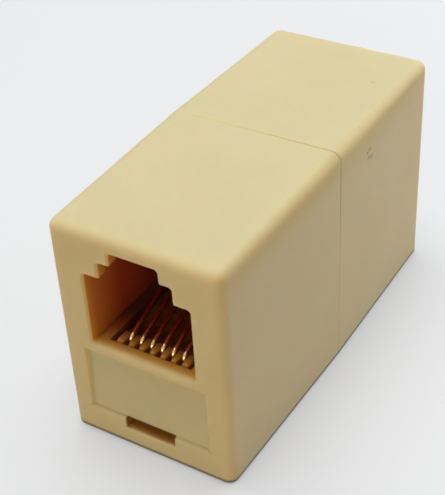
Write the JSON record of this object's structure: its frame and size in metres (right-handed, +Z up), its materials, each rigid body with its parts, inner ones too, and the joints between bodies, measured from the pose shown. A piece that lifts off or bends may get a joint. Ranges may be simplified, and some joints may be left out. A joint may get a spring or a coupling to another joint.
{
  "type": "ethernet to telephone adapter",
  "caption": "In-line adapter in a moulded ivory case, with a keyed telephone socket at one end and a wider ethernet socket at the other, joined by sprung contact wires.",
  "frame": {"origin": "under the middle of the seam between the two shells, on the face that the adapter stands on", "axes": "+Z up, +Y along the adapter towards the ethernet socket, so the telephone socket faces -Y, and +X across it"},
  "size_m": [0.0164, 0.0366, 0.0216],
  "materials": {
    "ivory_shell": "satin moulded ABS, ivory",
    "contact_block": "moulded polyester, deep ivory",
    "contact_wire": "gold-plated phosphor bronze, drawn"
  },
  "bodies": {
    "root": {"telephone_shell": "ivory_shell", "ethernet_shell": "ivory_shell", "contact_block": "contact_block", "contact_wire_1": "contact_wire", "contact_wire_2": "contact_wire", "contact_wire_3": "contact_wire", "contact_wire_4": "contact_wire", "contact_wire_5": "contact_wire", "contact_wire_6": "contact_wire"}
  },
  "joints": []
}
